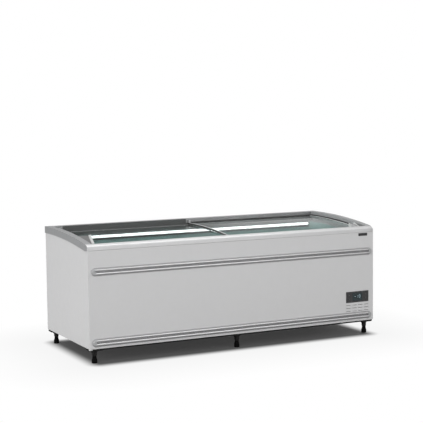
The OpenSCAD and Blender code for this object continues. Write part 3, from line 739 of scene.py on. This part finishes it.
def makeDrainRing():
    profile = [(10, -1), (17, -1), (17, 1), (15.6, 2), (12, 2), (10, 0.8), (10, -1)]
    bm = lathe(profile, (drain["x"] * mm, 0, drain["z"] * mm), steps=32)
    place(fromBmesh(bm, "drainRing", "trackPlastic", 40), "cabinet", "liner")


makeScrews("backScrews", [(x, screws["back"], z) for x in range(-1200, 1201, 300) for z in (132, 872)],
           (0, 1, 0), "bodyPaint", "body_paint")
makeScrews("grilleScrews", [(x, screws["grille"], z) for x in (938, 1214) for z in (156, 285, 414)],
           (0, 1, 0), "blackPlastic", "black_plastic")
makeScrews("leftScrews", [(-screws["side"], y, 126) for y in (-380, -130, 130, 380)],
           (-1, 0, 0), "bodyPaint", "body_paint")
makeScrews("rightScrews", [(screws["side"], y, 126) for y in (-380, -130, 130, 380)],
           (1, 0, 0), "bodyPaint", "body_paint")
for name in blocks:
    makeBlock(name)
makeTubCoves()
makeDrainRing()
print("small fittings made")


# display digits and key marks

display = {"digit": (15 * mm, 27 * mm), "stroke": 3.4 * mm, "gap": 7 * mm, "rise": 3 * mm,
           "far": 0.4 * mm, "near": 0.02 * mm}  # near and far: from the window's face
segmentsOf = {"1": "bc", "8": "abcdefg", "-": "g"}


def makeDigits(text):
    low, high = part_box("display_window")
    width, height = display["digit"]
    stroke = display["stroke"]
    near, far = low.y - display["near"], low.y - display["far"]
    bm = bmesh.new()
    total = len(text) * width + (len(text) - 1) * display["gap"]
    left = (low.x + high.x - total) / 2
    bottom = (low.z + high.z - height) / 2 + display["rise"]
    half = height / 2
    places = {
        "a": ((stroke, height - stroke), (width - stroke, height)),
        "g": ((stroke, half - stroke / 2), (width - stroke, half + stroke / 2)),
        "d": ((stroke, 0), (width - stroke, stroke)),
        "b": ((width - stroke, half + stroke), (width, height - stroke)),
        "c": ((width - stroke, stroke), (width, half - stroke)),
        "f": ((0, half + stroke), (stroke, height - stroke)),
        "e": ((0, stroke), (stroke, half - stroke)),
    }
    for index, mark in enumerate(text):
        x = left + index * (width + display["gap"])
        for segment in segmentsOf[mark]:
            (x0, z0), (x1, z1) = places[segment]
            box(bm, (x + x0, far, bottom + z0), (x + x1, near, bottom + z1))
    bevelEdges(bm, bm.edges[:], 0.15, 1)
    place(fromBmesh(bm, "displayDigits", "litSegments"), "cabinet", "display")


makeDigits("-18")


keyMark = {"arm": 4 * mm, "half": 0.9 * mm, "dot": 2.6 * mm, "far": 0.3 * mm, "near": 0.02 * mm}


def makeKeyMark(number):
    low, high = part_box(f"key_{number}")
    middle = (low + high) / 2
    near, far = low.y - keyMark["near"], low.y - keyMark["far"]
    arm, half = keyMark["arm"], keyMark["half"]
    bm = bmesh.new()
    if number % 2:  # odd keys have a bar, and the first a cross
        box(bm, (middle.x - arm, far, middle.z - half), (middle.x + arm, near, middle.z + half))
    else:
        bmesh.ops.create_circle(bm, cap_ends=True, segments=20, radius=keyMark["dot"])
        bmesh.ops.rotate(bm, cent=(0, 0, 0), matrix=Matrix.Rotation(math.pi / 2, 3, "X"), verts=bm.verts)
        bmesh.ops.translate(bm, vec=(middle.x, near, middle.z), verts=bm.verts)
        made = bmesh.ops.extrude_face_region(bm, geom=bm.faces[:])
        top = [v for v in made["geom"] if isinstance(v, bmesh.types.BMVert)]
        bmesh.ops.translate(bm, vec=(0, far - near, 0), verts=top)
        bmesh.ops.recalc_face_normals(bm, faces=bm.faces)
    if number == 1:
        box(bm, (middle.x - half, far, middle.z - arm), (middle.x + half, near, middle.z + arm))
    place(fromBmesh(bm, f"key{number}Mark", "inkGrey"), f"key_{number}_body", "key_plastic")


for number in range(1, 5):
    makeKeyMark(number)
print("display and key marks made")


# studio

studio = {
    "lens": 101.14, "yaw": 0.4633, "pitch": 0.0894, "roll": -0.0115,
    "spot": (-4.2746, -8.5591, 1.8923), "sensor": 36.0,
}


def makeCamera():
    data = bpy.data.cameras.new("studioCamera")
    data.lens = studio["lens"]
    data.sensor_width = studio["sensor"]
    data.clip_end = 100
    camera = bpy.data.objects.new("studioCamera", data)
    bpy.context.scene.collection.objects.link(camera)
    yaw, pitch = studio["yaw"], studio["pitch"]
    look = Vector((math.sin(yaw) * math.cos(pitch), math.cos(yaw) * math.cos(pitch), -math.sin(pitch)))
    turn = look.to_track_quat("-Z", "Y").to_matrix() @ Matrix.Rotation(studio["roll"], 3, "Z")
    camera.matrix_world = Matrix.Translation(studio["spot"]) @ turn.to_4x4()
    bpy.context.scene.camera = camera


lights = {  # place, aim, size, power in watts, and whether the lids mirror it
    "keyLight": ((-5.5, -4.5, 4.2), (-0.3, 0, 0.5), (3.5, 3.0), 236, True),
    "frontFill": ((2.3, -7.0, 2.6), (0, 0, 0.5), (5.0, 3.0), 214, True),
    "topLight": ((0.0, 0.6, 4.5), (0, 0, 0.5), (5.0, 2.5), 145, True),
    "leftFill": ((-6.5, 0.6, 1.7), (-1.25, 0.1, 0.5), (3.0, 3.0), 150, True),
    "backFill": ((4.8, 5.6, 1.3), (0.4, 0.1, 0.5), (4.0, 2.4), 260, False)}


def makeLight(name):
    spot, target, size, power, mirrored = lights[name]
    data = bpy.data.lights.new(name, "AREA")
    data.shape = "RECTANGLE"
    data.size, data.size_y = size
    data.energy = power
    lamp = bpy.data.objects.new(name, data)
    bpy.context.scene.collection.objects.link(lamp)
    aim = (Vector(target) - Vector(spot)).to_track_quat("-Z", "Y")
    lamp.matrix_world = Matrix.Translation(spot) @ aim.to_matrix().to_4x4()
    lamp.visible_camera = False
    lamp.visible_glossy = mirrored
    lamp.visible_transmission = mirrored


# the lids mirror a pale room, with a wall behind them that is darker to the left and higher up
room = {"ambient": 0.32, "pale": 0.85, "behind": (0.3, 0.95, 0), "wallFrom": (0.55, 0.85),
        "sideways": (0.93, -0.36, 0), "sweepFrom": (0.06, 0.13), "sweepTo": (0.18, 0.62),
        "liftFrom": (0.15, 0.3), "liftTo": (1.0, 0.35)}


def makeWorld():
    world = bpy.data.worlds.new("paleStudio")
    bpy.context.scene.world = world
    world.use_nodes = True
    tree = world.node_tree
    tree.nodes.clear()
    out = tree.nodes.new("ShaderNodeOutputWorld")
    path = tree.nodes.new("ShaderNodeLightPath")
    ambient = tree.nodes.new("ShaderNodeBackground")
    ambient.inputs["Color"].default_value = (1, 1, 1, 1)
    ambient.inputs["Strength"].default_value = room["ambient"]
    white = tree.nodes.new("ShaderNodeBackground")
    white.inputs["Color"].default_value = (1, 1, 1, 1)
    white.inputs["Strength"].default_value = 1.0
    mirrored = tree.nodes.new("ShaderNodeBackground")
    coords = tree.nodes.new("ShaderNodeTexCoord")
    direction = coords.outputs["Generated"]
    sideways = dotNode(tree, direction, room["sideways"])
    sweep = rangeNode(tree, sideways, room["sweepFrom"], room["sweepTo"], smooth=True)
    wall = rangeNode(tree, dotNode(tree, direction, room["behind"]), room["wallFrom"])
    blend = tree.nodes.new("ShaderNodeMix")
    blend.inputs[2].default_value = room["pale"]
    tree.links.new(wall, blend.inputs[0])
    upward = dotNode(tree, direction, (0, 0, 1))
    lift = rangeNode(tree, upward, room["liftFrom"], room["liftTo"])
    tree.links.new(mathNode(tree, "MULTIPLY", sweep, lift), blend.inputs[3])
    tree.links.new(blend.outputs[0], mirrored.inputs["Strength"])
    first = tree.nodes.new("ShaderNodeMixShader")
    tree.links.new(path.outputs["Is Glossy Ray"], first.inputs[0])
    tree.links.new(ambient.outputs[0], first.inputs[1])
    tree.links.new(mirrored.outputs[0], first.inputs[2])
    second = tree.nodes.new("ShaderNodeMixShader")
    tree.links.new(path.outputs["Is Camera Ray"], second.inputs[0])
    tree.links.new(first.outputs[0], second.inputs[1])
    tree.links.new(white.outputs[0], second.inputs[2])
    tree.links.new(second.outputs[0], out.inputs["Surface"])


# the floor's painted shadow: half sizes, how soon it turns pale, and how pale it is under and beside the
# cabinet
paintedFloorShadow = {"x": 1.16, "y": 0.46, "rise": 0.14, "under": 0.038, "beside": 0.9, "tail": (0.1, 0.9),
          "color": 0.33, "paintedCameraShade": 0.09}  # base colour, in general and as the camera sees it, darker for the camera as painted shade


def makeFloor():
    bm = bmesh.new()
    bmesh.ops.create_grid(bm, x_segments=1, y_segments=1, size=30)
    mesh = bpy.data.meshes.new("paleFloor")
    bm.to_mesh(mesh)
    bm.free()
    floor = bpy.data.objects.new("paleFloor", mesh)
    bpy.context.scene.collection.objects.link(floor)
    material = bpy.data.materials.new("paleFloor")
    material.use_nodes = True
    shader = material.node_tree.nodes["Principled BSDF"]
    shader.inputs["Roughness"].default_value = 0.6
    shader.inputs["Specular IOR Level"].default_value = 0.2
    tree = material.node_tree
    coords = tree.nodes.new("ShaderNodeTexCoord")
    parts = tree.nodes.new("ShaderNodeSeparateXYZ")
    tree.links.new(coords.outputs["Object"], parts.inputs[0])
    outX = mathNode(tree, "SUBTRACT", mathNode(tree, "ABSOLUTE", parts.outputs["X"]), paintedFloorShadow["x"])
    outY = mathNode(tree, "SUBTRACT", mathNode(tree, "ABSOLUTE", parts.outputs["Y"]), paintedFloorShadow["y"])
    reach = tree.nodes.new("ShaderNodeCombineXYZ")
    tree.links.new(mathNode(tree, "MAXIMUM", outX, 0.0), reach.inputs["X"])
    tree.links.new(mathNode(tree, "MAXIMUM", outY, 0.0), reach.inputs["Y"])
    length = tree.nodes.new("ShaderNodeVectorMath")
    length.operation = "LENGTH"
    tree.links.new(reach.outputs[0], length.inputs[0])
    under = mathNode(tree, "MINIMUM", mathNode(tree, "MAXIMUM", outX, outY), 0.0)
    away = mathNode(tree, "ADD", length.outputs["Value"], under)
    rise = rangeNode(tree, away, (0.0, paintedFloorShadow["rise"]), (paintedFloorShadow["under"], paintedFloorShadow["beside"]), smooth=True)
    tail = rangeNode(tree, away, paintedFloorShadow["tail"], (0.0, 1 - paintedFloorShadow["beside"]))
    paintedShadowMask = mathNode(tree, "ADD", rise, tail)
    path = tree.nodes.new("ShaderNodeLightPath")
    # camera rays see a darker floor base: painted shade
    paintedCameraShade = mathNode(tree, "MULTIPLY", path.outputs["Is Camera Ray"], paintedFloorShadow["color"] - paintedFloorShadow["paintedCameraShade"])
    tree.links.new(mathNode(tree, "SUBTRACT", paintedFloorShadow["color"], paintedCameraShade), shader.inputs["Base Color"])
    # camera rays see this glow through the mask: a painted shadow under the cabinet and pale floor around it
    paintedFloorGlow = tree.nodes.new("ShaderNodeEmission")
    mix = tree.nodes.new("ShaderNodeMixShader")
    tree.links.new(mathNode(tree, "MULTIPLY", paintedShadowMask, path.outputs["Is Camera Ray"]), mix.inputs[0])
    tree.links.new(shader.outputs[0], mix.inputs[1])
    tree.links.new(paintedFloorGlow.outputs[0], mix.inputs[2])
    tree.links.new(mix.outputs[0], tree.nodes["Material Output"].inputs["Surface"])
    mesh.materials.append(material)


makeCamera()
for name in lights:
    makeLight(name)
makeWorld()
makeFloor()
bpy.context.scene.view_settings.view_transform = "Standard"
print("studio ready")
